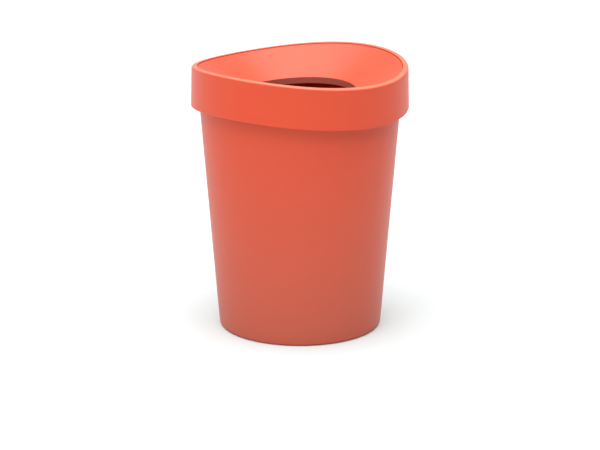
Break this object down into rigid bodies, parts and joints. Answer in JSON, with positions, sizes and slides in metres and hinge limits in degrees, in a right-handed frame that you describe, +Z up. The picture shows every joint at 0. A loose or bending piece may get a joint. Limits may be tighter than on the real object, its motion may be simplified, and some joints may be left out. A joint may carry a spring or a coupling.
{
  "type": "round lidded waste bin",
  "caption": "Tapered round plastic waste bin with a wave-topped overhanging collar and a dished lid insert with a round drop hole.",
  "frame": {"origin": "centre of the standing ring, at floor level", "axes": "+Z up through the middle of the bin and the drop hole; +Y and -Y towards the two low points of the wavy lid, +X and -X towards its two high points"},
  "size_m": [0.3176, 0.3176, 0.3979],
  "materials": {
    "container_plastic": "fine satin, moulded in one coral-red colour",
    "collar_plastic": "fine satin, moulded in one coral-red colour",
    "insert_plastic": "fine satin, moulded in one coral-red colour"
  },
  "bodies": {
    "container": {"container": "container_plastic"},
    "collar": {"lid_collar": "collar_plastic"},
    "insert": {"lid_insert": "insert_plastic"}
  },
  "joints": [
    {"name": "collar_lift", "type": "slide", "parent": "container", "child": "collar", "axis": [0, 0, 1], "range_m": [0, 0.06]},
    {"name": "insert_lift", "type": "slide", "parent": "collar", "child": "insert", "axis": [0, 0, 1], "range_m": [0, 0.07]}
  ]
}
